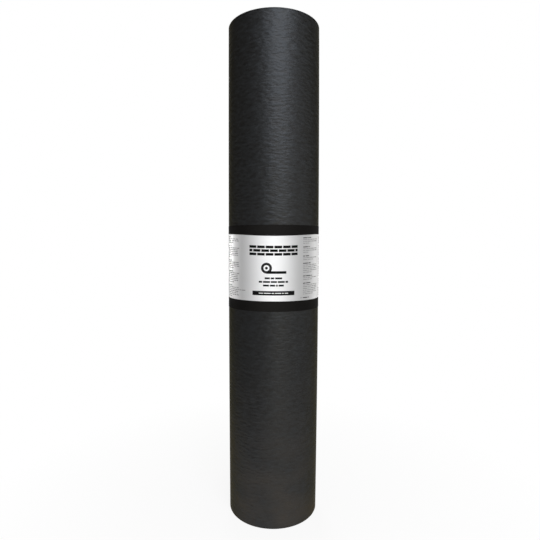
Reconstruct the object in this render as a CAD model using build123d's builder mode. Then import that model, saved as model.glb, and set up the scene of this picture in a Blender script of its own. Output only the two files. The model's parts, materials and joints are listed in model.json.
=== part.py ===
"""Roll of asphalt-saturated roofing felt, standing on its end and held closed by a paper label band.

The origin is on the floor, on the bore's axis. +Z is up along the roll, and -Y is the front of the label.
The felt is wound as a spiral of half turns: the half at -X is struck from one centre and the half at +X from
another, half a turn's thickness nearer the front, so that each half turn runs on smoothly into the next.
"""

import os
from math import acos, degrees

from build123d import *

# Driving dimensions, in millimetres
roll_width = 914.4  # width of the felt sheet, which is the height of the standing roll
roll_diameter = 170.0  # front to back, over the loose end of the sheet
bore_diameter = 50.0  # hollow that the winding mandrel leaves
felt_thickness = 0.94
turn_gap_width = 0.30  # open joint between two turns, where the cut edges of the felt are rounded
turn_gap_depth = 0.80
label_width = 152.4
label_rise = 15.0  # the label's middle stands this far above the roll's middle
label_thickness = 0.20
label_lap = 38.0  # length of paper that is glued over the band's other end
label_lap_angle = 60.0  # where the band's loose edge lies, from +X towards the back
glue_line = 0.05

# The spiral, as whole turns between the bore and the outside
outer_radius = roll_diameter / 2
bore_radius = bore_diameter / 2
turn_count = round((outer_radius - bore_radius) / felt_thickness)
turn_pitch = (outer_radius - bore_radius) / turn_count
left_centre = (0, turn_pitch / 4)
right_centre = (0, -turn_pitch / 4)
right_radius = outer_radius - turn_pitch / 2
tail_corner = Vector(0, left_centre[1] + outer_radius)
tail_foot = Vector(0, right_centre[1] + right_radius)
joint_start = tail_foot.Y
joint_finish = left_centre[1] - outer_radius + (turn_count - 1) * turn_pitch

# Where the paper leaves the loose end of the felt for the turn below, in a straight line
bridge_angle = degrees(acos(right_radius / (outer_radius + turn_pitch / 2)))
bridge_normal = Vector(0, 1).rotate(Axis.Z, -bridge_angle)

label_bottom = roll_width / 2 + label_rise - label_width / 2


def wrap_line(distance):
    """Draws the closed line of paper that is pulled tight round the roll, this far outside the felt."""
    CenterArc(left_centre, outer_radius + distance, 90, 180)
    CenterArc(right_centre, right_radius + distance, 270, 180 - bridge_angle)
    Line(
        Vector(right_centre) + bridge_normal * (right_radius + distance),
        tail_corner + bridge_normal * distance,
    )
    CenterArc(tail_corner, distance, 90 - bridge_angle, bridge_angle)


# Felt roll
with BuildPart() as felt_roll:
    with BuildSketch():
        with BuildLine():
            CenterArc(left_centre, outer_radius, 90, 180)
            CenterArc(right_centre, right_radius, 270, 180)
            Line(tail_foot, tail_corner)
        make_face()
        Circle(bore_radius, mode=Mode.SUBTRACT)
    extrude(amount=roll_width)

    with BuildSketch(Plane.XY, Plane.XY.offset(roll_width - turn_gap_depth)):
        for side in (turn_gap_width / 2, -turn_gap_width / 2):
            for turn in range(1, turn_count):
                with BuildLine():
                    CenterArc(left_centre, outer_radius - turn * turn_pitch + side, 90, 180)
                    if turn < turn_count - 1:
                        CenterArc(right_centre, right_radius - turn * turn_pitch + side, 270, 180)
        for joint_end in (joint_start, joint_finish):
            with BuildLine():
                Line((0, joint_end + turn_gap_width / 2), (0, joint_end - turn_gap_width / 2))
        make_face()
    extrude(amount=turn_gap_depth, mode=Mode.SUBTRACT)

# Label band
with BuildPart() as label_band:
    with BuildSketch(Plane.XY.offset(label_bottom)):
        with BuildLine():
            wrap_line(glue_line + label_thickness)
        make_face()
        with BuildLine():
            wrap_line(glue_line)
        make_face(mode=Mode.SUBTRACT)
    extrude(amount=label_width)

    lap_radius = right_radius + glue_line + label_thickness
    lap_sweep = degrees(label_lap / lap_radius)
    with BuildSketch(Plane.XY.offset(label_bottom)):
        with BuildLine():
            lap_under = CenterArc(right_centre, lap_radius, label_lap_angle - lap_sweep, lap_sweep)
            lap_over = CenterArc(
                right_centre, lap_radius + label_thickness, label_lap_angle - lap_sweep, lap_sweep
            )
            Line(lap_under @ 0, lap_over @ 0)
            Line(lap_under @ 1, lap_over @ 1)
        make_face()
    extrude(amount=label_width)

felt_roll.part.label = "felt_roll"
label_band.part.label = "label_band"

os.makedirs("parts", exist_ok=True)
for piece in (felt_roll, label_band):
    export_step(piece.part, f"parts/{piece.part.label}.step")
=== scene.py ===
"""Looks of the roll of roofing felt, in metres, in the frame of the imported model.

The felt is one long sheet, wound as a spiral from its loose end at the back (+Y) inwards to the bore. The
label is a strip of printed paper round the middle. Its printed front faces -Y, and its ends lap at the back.
"""

import json
import math
import random
from collections import namedtuple
from itertools import accumulate
from types import SimpleNamespace

import bpy
from mathutils import Matrix, Vector, noise


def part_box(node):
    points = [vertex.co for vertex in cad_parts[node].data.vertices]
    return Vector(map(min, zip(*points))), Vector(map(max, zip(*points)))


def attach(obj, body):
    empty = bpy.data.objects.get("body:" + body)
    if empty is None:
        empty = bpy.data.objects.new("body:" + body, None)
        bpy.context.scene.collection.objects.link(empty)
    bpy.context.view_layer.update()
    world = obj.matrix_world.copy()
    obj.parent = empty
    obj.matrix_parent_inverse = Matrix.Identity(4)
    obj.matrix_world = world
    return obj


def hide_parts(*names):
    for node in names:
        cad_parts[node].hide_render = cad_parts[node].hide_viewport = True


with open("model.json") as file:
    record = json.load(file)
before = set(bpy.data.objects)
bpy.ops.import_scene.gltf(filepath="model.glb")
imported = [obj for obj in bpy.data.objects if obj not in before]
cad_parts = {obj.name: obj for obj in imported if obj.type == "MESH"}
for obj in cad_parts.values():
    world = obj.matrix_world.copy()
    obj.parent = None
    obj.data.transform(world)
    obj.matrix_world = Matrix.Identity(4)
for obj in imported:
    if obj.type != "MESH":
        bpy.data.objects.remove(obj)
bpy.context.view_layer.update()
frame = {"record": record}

# Sizes that the frame gives
felt_low, felt_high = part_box("felt_roll")
label_low, label_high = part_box("label_band")
mounts = {mount["name"]: mount for mount in frame["record"]["mounts"]}
bore_radius = mounts["bore"]["dims"]["r_mm"] / 1000
tail_radius = felt_high.y
roll_height = felt_high.z
label_width = label_high.z - label_low.z

# Felt sheet, in columns along its length from the loose end, and rows up its width
turn_count = 64
tail_step = 0.25  # how far the loose end stands outside the roll's own radius, in turns
turn_pitch = (tail_radius - bore_radius) / (turn_count + tail_step)
felt_thickness = 0.00074
felt_turns = (tail_radius - felt_thickness - bore_radius) / turn_pitch
columns_per_turn = 96
felt_last = int(felt_turns * columns_per_turn)  # the last column, in the bore
tail_flap = 6  # columns of the loose end that lie free of the turn below
outside_last = columns_per_turn + tail_flap  # the last column whose outer wall shows
bore_first = felt_last - columns_per_turn  # the first column whose inner wall shows in the bore
wall_rows = 64
tail_angle = math.pi / 2
edge_rounding = 0.00012
edge_flat = (0.18, 0.82)  # where the flat of a cut edge begins and ends, across the sheet
joint_depth = 0.005  # how deep the open joints between the turns go, at both ends
gap_wander = 0.00005  # how much the joints change in width
gap_ripple = 2.3  # how quickly they change
end_wander = 0.0016  # how far the inner turns stand back from the roll's end, at most
end_drift = 0.31  # how quickly that changes from turn to turn
end_ripple = 1.6  # how quickly it changes round a turn
end_seed = (1.7, 4.1)
flush_turns = 4  # outer turns over which it grows from nothing
wall_swell = 0.0016  # how far the slack outer turns stand out at mid-height
side_swell = 0.0005  # how much more that is on the right side, and less on the left
tail_lift = 0.0012  # how far the loose corners spring away at the roll's two ends
painted_glow_height = 0.40  # how far up the roll the painted reflection of the pale floor reaches, lighter and warmer towards the foot
felt_wall, felt_edge = range(2)  # places in the felt's list of materials

# Label strip
label_paper = 0.0002
label_glue = 0.00006
label_border = 0.0185
label_lap = 0.038
label_front = 1.5 * math.pi
label_loose_angle = math.radians(60)
label_rise_length = 0.004  # run over which the strip climbs on to its other end
label_radius = tail_radius - turn_pitch / 2  # mean radius of the turn under it
edge_curl = 0.00012  # how far its upper and lower edges lift, at most
edge_curl_width = 0.006
edge_curl_ripple = 30  # how quickly that changes along the strip
edge_curl_seed = 9.0
loose_curl = 0.0004  # how far the corners of its loose end lift
loose_curl_length = 0.010
loose_curl_width = 0.03

# Print on the label, in columns to both sides of the middle of its front, and lines from the bottom up
print_step = 0.0015  # width of a column
loose_run = (label_loose_angle + 2 * math.pi - label_front) * label_radius
last_column = round(loose_run / print_step)
first_column = last_column - round((2 * math.pi * label_radius + label_lap) / print_step)
middle_column = (first_column + last_column) // 2
line_low = 0.0225  # bottom of the lowest line, above the strip's lower edge
line_pitch = 0.0032
line_height = 0.0014
line_count = 34
course_rows = 4  # rows from one course of tabs to the next
shortest_word = 2
heading_columns = (8, 18)
paragraph_lines = (2, 6)
last_line_columns = (8, 20)
text_width = 29  # columns of one block of fine print
text_ragged = 3  # how far its lines fall short of that, at most
text_pitch = 37
text_left = -45  # where the fine print ends to the left of the front
text_right = 37  # where it starts to the right of it
ring_column = -8  # middle of a ring, which stands for a roll, and start of the bar that is its sheet
ring_bar = 23  # length of that bar
ring_line = 14  # line on which both stand
ring_outer = 0.0095
ring_inner = 0.0052
ring_dot = 0.0024
ring_middle = line_low + ring_line * line_pitch + ring_outer
print_sag = 0.001  # how far the top of the print lies low at the middle of the front
print_bow = 0.0045  # how far it rises from there to both sides
bow_run = 0.118  # run of the strip over which it rises
painted_sheen_period = 0.236  # run of the strip from one bright band of the silver's painted sheen to the next
painted_sheen_stops = (  # shares of that run, and how bright the painted sheen makes the silver there
    (0.0, 0.97),
    (0.14, 0.97),
    (0.25, 0.57),
    (0.48, 0.94),
    (0.73, 0.40),
    (0.76, 0.40),
    (0.92, 0.76),
    (1.0, 0.97),
)
panel, border, paper, ink, fine_ink = range(5)  # places in the label's list of materials

# Heights between the strip's rows of cells: some in each border, and a line and a gap in turn between them
edge_row = 0.002  # height of the row along each of the strip's edges, where it lifts most
border_low = [0.0, edge_row, label_border / 2, label_border]
border_high = [label_width - height for height in reversed(border_low)]
line_starts = [line_low + line_pitch * line for line in range(line_count)]
line_edges = [start + rise for start in line_starts for rise in (0.0, line_height)]
front_heights = [*border_low, *line_edges, *border_high]
back_heights = [*border_low, label_width / 2, *border_high]
border_rows = len(border_low) - 1
panel_top = label_width - label_border

# Map that the label is baked on, in pixels: each cell of the print takes whole ones
map_pixels = 256
map_left = 4
map_halves = (2, 122)  # lowest row of the strip's left half and of its right half
map_back = (242, 254)  # rows of the strip's back
border_pixels = [2] * border_rows
print_pixels = [1] + [2, 1] * line_count  # a gap, and then each line and the gap above it
row_pixels = list(accumulate([*border_pixels, *print_pixels, *border_pixels], initial=0))

# Camera, as fitted to the outline of the roll in the picture
camera_place = (0.0, -0.8506, 0.5141)
camera_pitch = math.radians(-3.330)
camera_yaw = math.radians(0.448)
camera_roll = math.radians(-0.117)
focal_pixels = 439.1
picture_pixels = 540
sensor_width = 36.0

# White sweep under and behind the roll, a fan that opens from a point on the floor in front of it
sweep_start = -0.90
sweep_lean = math.radians(5)  # how far the fan turns to the right
sweep_white = math.radians(32)
sweep_edge = math.radians(44)
sweep_beside = 0.32  # how bright the floor beside it is, where the roll mirrors it
horizon_fade = 0.03
floor_radius = 3.0
shadow_reach = (0.1, 0.6)  # how far from the roll's axis its shadow begins to fade, and is gone
shadow_white = 0.88  # how much of the floor's white hides the shadow close to the roll


def spiral_radius(turns):
    """Radius of the felt's outer face, this many turns in from the loose end."""
    return tail_radius - turn_pitch * turns


def swell(angle, height):
    """How far the roll's outer wall stands out at this place."""
    share = height / roll_height
    return (wall_swell + side_swell * math.cos(angle)) * 4 * share * (1 - share)


def smooth(x):
    """Eases from 0 at 0 to 1 at 1."""
    x = min(max(x, 0.0), 1.0)
    return x * x * (3 - 2 * x)


# Meshes

sharp_angle = math.radians(50)


class Draft:
    """Vertices and faces of one piece, gathered until its mesh is made.

    Each vertex keeps its place on the flat sheet, and each face has a patch, which is a function that gives a
    vertex its place on the map for baking.
    """

    def __init__(self):
        self.vertices = []
        self.flat = []
        self.faces = []
        self.face_materials = []
        self.patches = []

    def vertex(self, angle, radius, height, on_sheet):
        self.vertices.append((radius * math.cos(angle), radius * math.sin(angle), height))
        self.flat.append(on_sheet)
        return len(self.vertices) - 1

    def face(self, corners, material, patch):
        self.faces.append(corners)
        self.face_materials.append(material)
        self.patches.append(patch)

    def bridge(self, first, second, material, patch):
        """Faces between two rows of vertices."""
        for corners in zip(first, second, second[1:], first[1:]):
            self.face(corners, material, patch)

    def flat_patch(self, start, finish, top, box):
        """Lays the flat sheet from start to finish, up to the height of top, in a box on the map."""
        left, right, low, high = box

        def place(vertex):
            along, height = self.flat[vertex]
            across = (along - start) / (finish - start)
            return left + (right - left) * across, low + (high - low) * height / top

        return place

    def end_patch(self, centre, scale):
        """Lays an end of the roll, as seen along its axis, round a centre on the map."""
        def place(vertex):
            x, y, _ = self.vertices[vertex]
            return centre[0] + scale * x, centre[1] + scale * y

        return place

    def piece(self, name, materials):
        """Makes the smooth mesh object, which rides on the roll."""
        mesh = bpy.data.meshes.new(name)
        mesh.from_pydata(self.vertices, [], self.faces)
        for material in materials:
            mesh.materials.append(material)
        mesh.polygons.foreach_set("material_index", self.face_materials)
        mesh.polygons.foreach_set("use_smooth", [True] * len(self.faces))
        mesh.set_sharp_from_angle(angle=sharp_angle)
        flat = [axis for corners in self.faces for vertex in corners for axis in self.flat[vertex]]
        mesh.uv_layers.new(name="flat").data.foreach_set("uv", flat)
        baked = []
        for corners, patch in zip(self.faces, self.patches):
            for vertex in corners:
                baked += patch(vertex)
        mesh.uv_layers.new(name="OFBake").data.foreach_set("uv", baked)
        made = bpy.data.objects.new(name, mesh)
        bpy.context.scene.collection.objects.link(made)
        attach(made, "root")
        return made


# Felt sheet

Section = namedtuple("Section", "outer top inner bottom")


def tail_spring(column, height):
    """How far the loose end stands off: nothing under the label, most at the two ends of the roll."""
    if column >= tail_flap:
        return 0.0
    above = (height - label_high.z) / (roll_height - label_high.z)
    below = (label_low.z - height) / label_low.z
    return tail_lift * smooth(max(above, below)) ** 2 * (1 - column / tail_flap) ** 2


def felt_section(draft, column):
    """Vertices of one column of the sheet: its two walls upwards, and its two cut edges inwards.

    A wall that shows has all its rows. One that is hidden between turns has only those of the open joints.
    """
    turns = column / columns_per_turn
    angle = tail_angle + 2 * math.pi * turns
    around = Vector((math.cos(angle), math.sin(angle), turns))
    radius = spiral_radius(turns) - gap_wander * (0.5 + 0.5 * noise.noise(around * gap_ripple))
    slow = noise.noise(Vector((turns * end_drift, *end_seed)))
    fine = noise.noise(around * end_ripple)
    wander = end_wander * smooth(turns / flush_turns)
    top = roll_height - wander * (0.5 + 0.4 * slow + 0.1 * fine)
    bottom = felt_low.z + wander * (0.5 - 0.4 * slow + 0.1 * fine)

    def point(depth, height):
        lift = tail_spring(column, height)
        if column <= outside_last:
            lift += swell(angle, height)
        return draft.vertex(angle, radius - depth + lift, height, (turns, height))

    def wall_column(depth, shown):
        rows = wall_rows if shown else 1
        low, high = bottom + joint_depth, top - joint_depth
        heights = [low + (high - low) * row / rows for row in range(rows + 1)]
        return [point(depth, z) for z in (bottom + edge_rounding, *heights, top - edge_rounding)]

    def edge_column(height):
        return [point(felt_thickness * share, height) for share in edge_flat]

    return Section(
        outer=wall_column(0.0, column <= outside_last or column == felt_last),
        inner=wall_column(felt_thickness, column <= tail_flap or column >= bore_first),
        top=edge_column(top),
        bottom=edge_column(bottom),
    )


def felt_patches(draft):
    """Where the felt lies on its map for baking: walls in upright strips, and the roll's ends as discs."""
    flap_turns = tail_flap / columns_per_turn
    end_turns = felt_last / columns_per_turn
    end_scale = 2.36  # of the roll's ends on the map, for each metre

    def strip(start, finish, left, right):
        return draft.flat_patch(start, finish, roll_height, (left, right, 0.005, 0.995))

    return SimpleNamespace(
        outside=strip(0.0, 1.0 + flap_turns, 0.004, 0.490),
        underside=strip(0.0, flap_turns, 0.497, 0.509),
        bore=strip(end_turns - 1.0, end_turns, 0.516, 0.564),
        root=strip(0.0, 1.0 + flap_turns, 0.570, 0.574),
        heel=strip(end_turns - 1.0, end_turns, 0.577, 0.581),
        top=draft.end_patch((0.790, 0.250), end_scale),
        bottom=draft.end_patch((0.790, 0.750), end_scale),
    )


def add_felt_walls(draft, sections, patches):
    """Walls and cut edges, from each column to the next."""
    def add_wall(first, second, shown_patch):
        """All of a wall that shows, or the parts of a hidden one that lie in the open joints."""
        if min(len(first), len(second)) > wall_rows:
            draft.bridge(first, second, felt_wall, shown_patch)
        else:
            draft.bridge(first[:2], second[:2], felt_wall, patches.bottom)
            draft.bridge(first[-2:], second[-2:], felt_wall, patches.top)

    for column, (here, after) in enumerate(zip(sections, sections[1:])):
        add_wall(here.outer, after.outer, patches.outside)
        add_wall(after.inner, here.inner, patches.underside if column < tail_flap else patches.bore)
        rims = [(section.outer[-1], *section.top, section.inner[-1]) for section in (here, after)]
        draft.bridge(*rims, felt_edge, patches.top)
        feet = [(section.outer[0], *section.bottom, section.inner[0]) for section in (after, here)]
        draft.bridge(*feet, felt_edge, patches.bottom)


def add_felt_joints(draft, sections, patches):
    """Floors of the open joints between the turns, and the two walls that close the hidden joint's ends."""
    for column in range(tail_flap, bore_first):
        inner_a, inner_b = (sections[column + step].inner for step in (0, 1))
        next_a, next_b = (sections[column + columns_per_turn + step].outer for step in (0, 1))
        draft.face((inner_a[-2], inner_b[-2], next_b[-2], next_a[-2]), felt_wall, patches.top)
        draft.face((inner_b[1], inner_a[1], next_a[1], next_b[1]), felt_wall, patches.bottom)
    under_flap, below_flap = sections[tail_flap].inner, sections[outside_last].outer
    draft.bridge(below_flap[1:-1], under_flap[1:-1], felt_wall, patches.root)
    above_end, over_end = sections[bore_first].inner, sections[felt_last].outer
    draft.bridge(above_end[1:-1], over_end[1:-1], felt_wall, patches.heel)


def add_felt_ends(draft, sections, patches):
    """The sheet's two cut ends: the loose one outside, and the one in the bore."""
    loose, last = sections[0], sections[-1]
    draft.bridge(loose.inner, loose.outer, felt_edge, patches.outside)
    draft.face((loose.outer[-1], *loose.top, loose.inner[-1]), felt_edge, patches.outside)
    draft.face((loose.inner[0], *loose.bottom[::-1], loose.outer[0]), felt_edge, patches.outside)
    draft.bridge(last.outer, last.inner, felt_edge, patches.bore)
    draft.face((last.inner[-1], *last.top[::-1], last.outer[-1]), felt_edge, patches.bore)
    draft.face((last.outer[0], *last.bottom, last.inner[0]), felt_edge, patches.bore)


def felt_sheet(materials):
    """The wound sheet: its outside and its bore in full, and between the turns a joint open at both ends."""
    draft = Draft()
    sections = [felt_section(draft, column) for column in range(felt_last + 1)]
    patches = felt_patches(draft)
    add_felt_walls(draft, sections, patches)
    add_felt_joints(draft, sections, patches)
    add_felt_ends(draft, sections, patches)
    return draft.piece("felt_sheet", materials)


# Label strip

def felt_outside(angle):
    """Radius of a line pulled tight over the felt at this angle, bridging the step below the loose end."""
    turns = ((angle - tail_angle) / (2 * math.pi)) % 1.0
    foot_radius = spiral_radius(1.0)
    bridge_angle = math.acos(foot_radius / tail_radius)
    before_tail = (1.0 - turns) * 2 * math.pi
    if before_tail < bridge_angle:
        return foot_radius / math.cos(bridge_angle - before_tail)
    return spiral_radius(turns)


def label_print():
    """Which cells of the panel are printed, by column and row. Even rows are lines, and odd ones gaps."""
    draw = random.Random(5)
    cells = {}

    def block(left, right, low, high, tone):
        for column in range(left, right):
            for row in range(low, high + 1):
                cells[column, row] = tone

    def words(left, right, low, high, tone, longest):
        """A line of words: bars of uneven length, a column apart."""
        while left < right:
            end = min(left + draw.randint(shortest_word, longest), right)
            if right - end <= shortest_word:
                end = right
            block(left, end, low, high, tone)
            left = end + 1

    def courses(left, right, low, count, tab):
        """Staggered courses of tabs, as shingles lie."""
        for course in range(count):
            row = low + course_rows * course
            start = left - (course % 2) * tab // 2
            for tab_left in range(start, right, tab):
                block(max(tab_left, left), min(tab_left + tab - 1, right), row, row + 2, ink)

    def text(left):
        """A block of fine print: paragraphs of a heading and some lines, from the top down."""
        line = line_count - 1
        while line >= 0:
            heading = left + draw.randint(*heading_columns)
            words(left, heading, 2 * line, 2 * line, ink, longest=8)
            length = draw.randint(*paragraph_lines)
            for body in range(line - 1, max(line - 1 - length, -1), -1):
                if body == line - length:
                    right = left + draw.randint(*last_line_columns)
                else:
                    right = left + text_width - draw.randint(0, text_ragged)
                words(left, right, 2 * body, 2 * body, fine_ink, longest=7)
            line -= length + 2

    # The front, from the top down: courses, the ring's bar, three lines, and light words on a black bar
    courses(left=-29, right=29, low=48, count=3, tab=10)
    block(ring_column, ring_column + ring_bar, 2 * ring_line, 2 * ring_line + 2, ink)
    for line, half in ((11, 10), (9, 17), (7, 12)):
        words(-half, half, 2 * line, 2 * line + 1, ink, longest=8)
    block(left=-25, right=25, low=4, high=8, tone=ink)
    words(left=-17, right=17, low=6, high=6, tone=panel, longest=8)

    # A small mark on each side of the front, and the fine print beyond
    words(left=-44, right=-35, low=8, high=8, tone=fine_ink, longest=5)
    words(left=33, right=41, low=0, high=0, tone=fine_ink, longest=4)
    for left in range(text_right, last_column - text_width, text_pitch):
        text(left)
    for left in range(text_left - text_width, first_column, -text_pitch):
        text(left)
    return cells


def cell_tone(cells, column, row):
    """Material of a cell of the strip's front."""
    if border_rows <= row < len(front_heights) - 1 - border_rows:
        return cells.get((column, row - len(border_low)), panel)
    return border


def bowed(height, along):
    """Height of a point of the print, whose lines bow up towards the sides, most at the top of the panel."""
    below_top = (height - label_border) / (panel_top - label_border)
    above_top = (label_width - height) / label_border
    swing = min(abs(along) / bow_run, 1.0)
    rise = print_bow * (0.5 - 0.5 * math.cos(math.pi * swing)) - print_sag
    return height + max(min(below_top, above_top), 0.0) * rise


def paper_column(draft, column, heights, thickness):
    """Vertices of one column of the strip, upwards, this far in front of its back."""
    along = column * print_step
    angle = label_front + along / label_radius
    past_start = along - first_column * print_step - 2 * math.pi * label_radius
    climb = smooth(past_start / label_rise_length + 1) * (label_paper + label_glue)
    loose_gap = (last_column - column) * print_step
    made = []
    for level in heights:
        height = bowed(level, along)
        edge_gap = min(height, label_width - height)
        ripple = 0.5 + 0.5 * noise.noise(Vector((along * edge_curl_ripple, height, edge_curl_seed)))
        edge_lift = edge_curl * (1 - smooth(edge_gap / edge_curl_width)) * ripple
        loose_lift = loose_curl * (1 - smooth(loose_gap / loose_curl_length))
        loose_lift *= 1 - smooth(edge_gap / loose_curl_width)
        level_radius = felt_outside(angle) + swell(angle, label_low.z + height)
        radius = level_radius + label_glue + climb + edge_lift + loose_lift + thickness
        made.append(draft.vertex(angle, radius, label_low.z + height, (along, height)))
    return made


def label_strip(materials):
    """The paper strip, from its hidden end round the roll to the loose end that is glued over it."""
    draft = Draft()
    columns = range(first_column, last_column + 1)
    fronts = [paper_column(draft, column, front_heights, label_paper) for column in columns]
    backs = [paper_column(draft, column, back_heights, 0.0) for column in columns]
    cell_corners = {}
    for column, front in zip(columns, fronts):
        cell_corners.update((vertex, (column, row)) for row, vertex in enumerate(front))

    def print_patch(first, low):
        """Lays the print on the map from this column on, with each cell on whole pixels."""
        def place(vertex):
            column, row = cell_corners[vertex]
            return (map_left + column - first) / map_pixels, (low + row_pixels[row]) / map_pixels

        return place

    left_half = print_patch(first_column, map_halves[0])
    right_half = print_patch(middle_column, map_halves[1])
    back_low, back_high = (row / map_pixels for row in map_back)
    start, finish = first_column * print_step, last_column * print_step
    whole_back = draft.flat_patch(start, finish, label_width, (0.02, 0.98, back_low, back_high))

    cells = label_print()
    for column, front_a, front_b, back_a, back_b in zip(columns, fronts, fronts[1:], backs, backs[1:]):
        half = left_half if column < middle_column else right_half
        for row, corners in enumerate(zip(front_a, front_b, front_b[1:], front_a[1:])):
            draft.face(corners, cell_tone(cells, column, row), half)
        draft.bridge(back_b, back_a, paper, whole_back)
        draft.face((back_a[0], back_b[0], front_b[0], front_a[0]), paper, whole_back)
        draft.face((front_a[-1], front_b[-1], back_b[-1], back_a[-1]), paper, whole_back)
    draft.face((*fronts[0], *backs[0][::-1]), paper, whole_back)
    draft.face((*backs[-1], *fronts[-1][::-1]), paper, whole_back)
    return draft.piece("label_strip", materials)


# Materials

class Nodes:
    """A node tree, with short calls that make a node and link or set its inputs."""

    def __init__(self, tree):
        self.tree = tree

    def node(self, kind, inputs, **settings):
        made = self.tree.nodes.new("ShaderNode" + kind)
        for name, value in settings.items():
            setattr(made, name, value)
        self.fill(made, inputs)
        return made

    def fill(self, made, inputs):
        for name, value in inputs.items():
            if isinstance(value, bpy.types.NodeSocket):
                self.tree.links.new(value, made.inputs[name])
            else:
                made.inputs[name].default_value = value

    def math(self, operation, first, second=0.0):
        return self.node("Math", {0: first, 1: second}, operation=operation).outputs[0]

    def place(self, kind):
        """Coordinates of this kind, and the same as separate axes."""
        whole = self.node("TexCoord", {}).outputs[kind]
        return whole, self.node("SeparateXYZ", {"Vector": whole}).outputs

    def flat_place(self):
        """Place on the flat sheet, and the same as a run along it and a height."""
        whole = self.node("UVMap", {}, uv_map="flat").outputs[0]
        axes = self.node("SeparateXYZ", {"Vector": whole}).outputs
        return whole, axes["X"], axes["Y"]

    def noise(self, scale, detail=3.0, roughness=0.5):
        """Noise at this many features for each metre along X, Y and Z."""
        place = self.node("TexCoord", {}).outputs["Object"]
        stretched = self.node("Mapping", {"Vector": place, "Scale": scale}).outputs[0]
        inputs = {"Vector": stretched, "Scale": 1.0, "Detail": detail, "Roughness": roughness}
        return self.node("TexNoise", inputs).outputs[0]

    def total(self, *weighted):
        """Sum of values, each times its weight."""
        result = None
        for value, weight in weighted:
            part = self.math("MULTIPLY", value, weight)
            result = part if result is None else self.math("ADD", result, part)
        return result

    def span(self, value, low, high, to_low=0.0, to_high=1.0, **settings):
        """Maps low..high to to_low..to_high, and holds at both ends."""
        inputs = {"Value": value, "From Min": low, "From Max": high, "To Min": to_low, "To Max": to_high}
        return self.node("MapRange", inputs, **settings).outputs[0]

    def blend(self, share, first, second):
        """Mix of two colours, the second one by this share."""
        return self.node("Mix", {0: share, 6: first, 7: second}, data_type="RGBA").outputs[2]

    def within(self, value, low, high):
        """1 between low and high, and 0 outside."""
        above = self.math("GREATER_THAN", value, low)
        below = self.math("LESS_THAN", value, high)
        return self.math("MULTIPLY", above, below)

    def bump(self, height, strength, distance):
        return self.node("Bump", {"Height": height, "Strength": strength, "Distance": distance}).outputs[0]

    def rays(self):
        """1 for a ray from the camera, and 1 for one that a surface mirrors or lets through."""
        path = self.node("LightPath", {}).outputs
        mirrored = self.math("MAXIMUM", path["Is Glossy Ray"], path["Is Transmission Ray"])
        return path["Is Camera Ray"], mirrored


class Shader(Nodes):
    """One material's node tree."""

    def __init__(self, name):
        self.material = bpy.data.materials.new(name)
        self.material.use_nodes = True
        super().__init__(self.material.node_tree)
        self.surface = self.tree.nodes["Principled BSDF"]

    def finished(self, inputs):
        """The material, once its surface has these inputs."""
        self.fill(self.surface, inputs)
        return self.material


def grey(level, warmth=0.0):
    return (level * (1 + warmth), level, level * (1 - warmth), 1.0)


def felt_material():
    """Asphalt-soaked felt: black satin, short streaks round the roll, fibrous grain, painted glow at the
    foot.

    Only its sheen shows, so its colour is how much it mirrors head on, and the tint dims that at the rims.
    """
    shader = Shader("felt")
    streaks = shader.noise((85, 85, 225), detail=1.5, roughness=0.45)
    fibres = shader.noise((330, 330, 900), detail=3.0, roughness=0.6)
    grain = shader.noise((1100, 1100, 1100), detail=2.0)
    mottle = shader.noise((16, 16, 22), detail=3.0)
    relief = shader.total((streaks, 0.88), (fibres, 0.07), (grain, 0.035))
    tone = shader.total((relief, 1.0), (mottle, 0.15))
    felt = shader.blend(shader.span(tone, 0.38, 0.76), grey(0.0352), grey(0.0482, -0.05))
    # Painted reflection of the pale floor: the felt turns patchily lighter and warmer towards its foot
    _, axes = shader.place("Object")
    painted_glow_fade = shader.math("POWER", shader.span(axes["Z"], 0.0, painted_glow_height, 1.0, 0.0), 2.0)
    painted_glow = shader.math("MULTIPLY", painted_glow_fade, shader.span(mottle, 0.3, 0.7, 0.0, 0.6))
    inputs = {
        "Base Color": shader.blend(painted_glow, felt, grey(0.060, 0.19)),
        "Roughness": shader.span(streaks, 0.3, 0.7, 0.49, 0.57),
        "Metallic": 1.0,
        "Specular Tint": (0.50, 0.48, 0.40, 1.0),
        "Normal": shader.bump(relief, 1.0, 0.0015),
    }
    return shader.finished(inputs)


def felt_edge_material():
    """Cut edge of the felt: dull and dark, with paler torn fibres, and paler and darker turns."""
    shader = Shader("felt_edge")
    fibres = shader.noise((1500, 1500, 600), detail=4.0, roughness=0.65)
    mottle = shader.noise((60, 60, 60), detail=3.0)
    flat, _, _ = shader.flat_place()
    turns = shader.node("TexNoise", {"Vector": flat, "Scale": 0.55, "Detail": 2.0}).outputs[0]
    tone = shader.total((fibres, 0.45), (mottle, 0.15), (turns, 0.40))
    inputs = {
        "Base Color": shader.blend(shader.span(tone, 0.40, 0.66), grey(0.008, 0.05), grey(0.075, 0.05)),
        "Roughness": 0.85,
        "Specular IOR Level": 0.1,
        "Normal": shader.bump(fibres, 0.6, 0.0003),
    }
    return shader.finished(inputs)


def sheen(shader, along):
    """Painted sheen: soft light and dark bands across the strip, for the highlights and shade of silver foil.
    """
    periods = shader.math("ADD", shader.math("DIVIDE", along, painted_sheen_period), 0.5)
    ramp = shader.node("ValToRGB", {"Fac": shader.math("FRACT", periods)})
    while len(ramp.color_ramp.elements) < len(painted_sheen_stops):
        ramp.color_ramp.elements.new(0.5)
    for element, (position, level) in zip(ramp.color_ramp.elements, painted_sheen_stops):
        element.position = position
        element.color = grey(level)
    ramp.color_ramp.interpolation = "EASE"
    return ramp.outputs[0]


def print_fibre(shader):
    """Fibres of the paper, which show through the print."""
    return shader.noise((900, 900, 900), detail=3.0)


def printed(shader, colour, fibre, roughness, gloss):
    """The material of a printed face, over the paper's fibres."""
    inputs = {
        "Base Color": colour,
        "Roughness": roughness,
        "Specular IOR Level": gloss,
        "Normal": shader.bump(fibre, 0.08, 0.0002),
    }
    return shader.finished(inputs)


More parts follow.
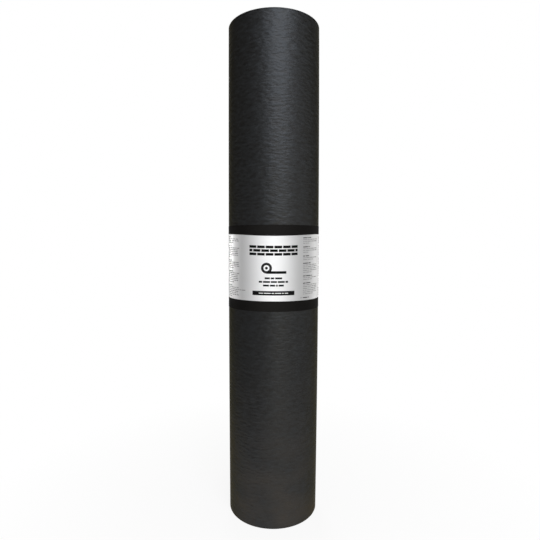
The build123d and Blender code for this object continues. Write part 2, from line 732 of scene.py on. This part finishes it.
def silver_material():
    """Silver print with a painted sheen, and on it a ring that stands for a roll, seen on its end."""
    shader = Shader("label_silver")
    _, along, height = shader.flat_place()
    across = shader.math("SUBTRACT", along, ring_column * print_step)
    above = shader.math("SUBTRACT", height, ring_middle)
    square = shader.math("ADD", shader.math("POWER", across, 2.0), shader.math("POWER", above, 2.0))
    distance = shader.math("SQRT", square)
    dot = shader.math("LESS_THAN", distance, ring_dot)
    ring = shader.math("MAXIMUM", shader.within(distance, ring_inner, ring_outer), dot)
    # The silver's colour is its painted sheen: light and dark bands for highlights and shade
    colour = shader.blend(ring, sheen(shader, along), grey(0.008))
    return printed(shader, colour, print_fibre(shader), roughness=0.4, gloss=0.3)


def border_material():
    """Black print along the strip's two edges, with the same painted sheen bands as the silver."""
    shader = Shader("label_border")
    _, along, _ = shader.flat_place()
    fibre = print_fibre(shader)
    # Painted sheen: the black print is lighter and darker in the silver's bands
    share = shader.total((sheen(shader, along), 0.85), (fibre, 0.3))
    colour = shader.blend(share, grey(0.0025, 0.06), grey(0.0135, 0.06))
    return printed(shader, colour, fibre, roughness=0.6, gloss=0.01)


def ink_material(name, dark, light):
    """Matt ink on the strip, a little uneven over the paper's fibres."""
    shader = Shader(name)
    fibre = print_fibre(shader)
    colour = shader.blend(shader.span(fibre, 0.35, 0.65), grey(dark), grey(light))
    return printed(shader, colour, fibre, roughness=0.6, gloss=0.01)


def paper_material():
    """Bare white paper, on the strip's back and cut edges."""
    shader = Shader("label_paper")
    fibre = shader.noise((700, 700, 700), detail=4.0)
    colour = shader.blend(shader.span(fibre, 0.35, 0.65), grey(0.72, 0.03), grey(0.82, 0.02))
    return shader.finished({"Base Color": colour, "Roughness": 0.8, "Specular IOR Level": 0.2})


# Stage

def floor_material():
    """Near-white floor with the shadow close to the roll, which mirrors it as white only on the sweep."""
    shader = Shader("floor")
    nodes = shader.tree.nodes
    nodes.remove(shader.surface)
    camera, mirrored = shader.rays()
    place, axes = shader.place("Object")
    distance = shader.node("VectorMath", {0: place}, operation="LENGTH").outputs["Value"]
    depth = shader.math("SUBTRACT", axes["Y"], sweep_start)
    turn = shader.math("SUBTRACT", shader.math("ARCTAN2", axes["X"], depth), sweep_lean)
    whiteness = shader.span(shader.math("ABSOLUTE", turn), sweep_white, sweep_edge, 1.0, sweep_beside)
    seen = shader.math("MULTIPLY", camera, shader.span(distance, *shadow_reach, shadow_white, 1.0))
    share = shader.math("MAXIMUM", seen, mirrored)
    diffuse = shader.node("BsdfDiffuse", {"Color": (0.92, 0.91, 0.89, 1.0)})
    strength = shader.math("MAXIMUM", camera, whiteness)
    white = shader.node("Emission", {"Color": grey(1.0), "Strength": strength})
    mix = shader.node("MixShader", {0: share, 1: diffuse.outputs[0], 2: white.outputs[0]})
    shader.fill(nodes["Material Output"], {"Surface": mix.outputs[0]})
    return shader.material


def add_floor():
    bpy.ops.mesh.primitive_circle_add(vertices=96, radius=floor_radius, fill_type="NGON")
    floor = bpy.context.object
    floor.name = "floor"
    floor.data.materials.append(floor_material())


def add_world():
    """White to the camera, and where the roll mirrors what is behind it or below the horizon.

    Elsewhere it is a dim grey.
    """
    world = bpy.data.worlds.new("studio")
    bpy.context.scene.world = world
    world.use_nodes = True
    sky = Nodes(world.node_tree)
    _, axes = sky.place("Generated")
    turn = sky.math("ABSOLUTE", sky.math("ARCTAN2", axes["X"], axes["Y"]))
    behind = sky.span(turn, sweep_edge, sweep_white, interpolation_type="SMOOTHSTEP")
    below = sky.span(axes["Z"], horizon_fade, -horizon_fade, interpolation_type="SMOOTHSTEP")
    camera, mirrored = sky.rays()
    mirrored_white = sky.math("MULTIPLY", mirrored, sky.math("MAXIMUM", behind, below))
    white = sky.math("MAXIMUM", camera, mirrored_white)
    colour = sky.blend(white, grey(0.205, 0.06), grey(1.0))
    sky.fill(world.node_tree.nodes["Background"], {"Color": colour})


def add_softbox(name, place, target, size, watts, colour=(1.0, 1.0, 1.0), spread=math.pi):
    lamp = bpy.data.lights.new(name, "AREA")
    lamp.shape = "RECTANGLE"
    lamp.size, lamp.size_y = size
    lamp.energy = watts
    lamp.color = colour
    lamp.spread = spread
    softbox = bpy.data.objects.new(name, lamp)
    softbox.location = place
    softbox.rotation_euler = (Vector(target) - Vector(place)).to_track_quat("-Z", "Y").to_euler()
    bpy.context.scene.collection.objects.link(softbox)


def add_lamps():
    """A cool key and two warm fills in front, a fill behind, and a weak kicker for the label's left edge."""
    add_softbox(
        "key",
        place=(0.33, -1.25, 1.66),
        target=(0.0, 0.0, 0.60),
        size=(1.05, 1.3),
        watts=22.0,
        colour=(0.945, 1.0, 1.10),
    )
    add_softbox(
        "low_fill",
        place=(0.36, -1.28, 0.40),
        target=(0.0, 0.0, 0.25),
        size=(0.7, 0.8),
        watts=2.6,
        colour=(1.08, 1.0, 0.82),
    )
    add_softbox(
        "side_fill",
        place=(1.55, -0.42, 0.80),
        target=(0.0, 0.0, 0.50),
        size=(2.0, 1.6),
        watts=5.0,
        colour=(1.02, 1.0, 0.94),
    )
    add_softbox(
        "back_fill",
        place=(-0.20, 1.50, 1.10),
        target=(0.0, 0.0, 0.50),
        size=(0.5, 1.2),
        watts=9.0,
    )
    label_middle = (label_low.z + label_high.z) / 2
    add_softbox(
        "kicker",
        place=(-0.775, 0.637, label_middle),
        target=(-0.056, -0.058, label_middle),
        size=(0.016, 0.118),
        watts=0.0015,
        spread=math.radians(1),
    )


def add_camera():
    data = bpy.data.cameras.new("camera")
    data.sensor_width = sensor_width
    data.lens = focal_pixels / picture_pixels * sensor_width
    camera = bpy.data.objects.new("camera", data)
    turn = Matrix.Rotation(camera_yaw, 4, "Z")
    tilt = Matrix.Rotation(math.pi / 2 + camera_pitch, 4, "X")
    lean = Matrix.Rotation(-camera_roll, 4, "Z")
    camera.matrix_world = Matrix.Translation(camera_place) @ turn @ tilt @ lean
    bpy.context.scene.collection.objects.link(camera)
    bpy.context.scene.camera = camera


felt = felt_sheet([felt_material(), felt_edge_material()])
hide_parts("felt_roll")
black_ink = ink_material("label_ink", 0.006, 0.010)
grey_ink = ink_material("label_fine_print", 0.22, 0.30)
label = label_strip([silver_material(), border_material(), paper_material(), black_ink, grey_ink])
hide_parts("label_band")

add_floor()
add_world()
add_lamps()
add_camera()
bpy.context.scene.view_settings.view_transform = "Standard"
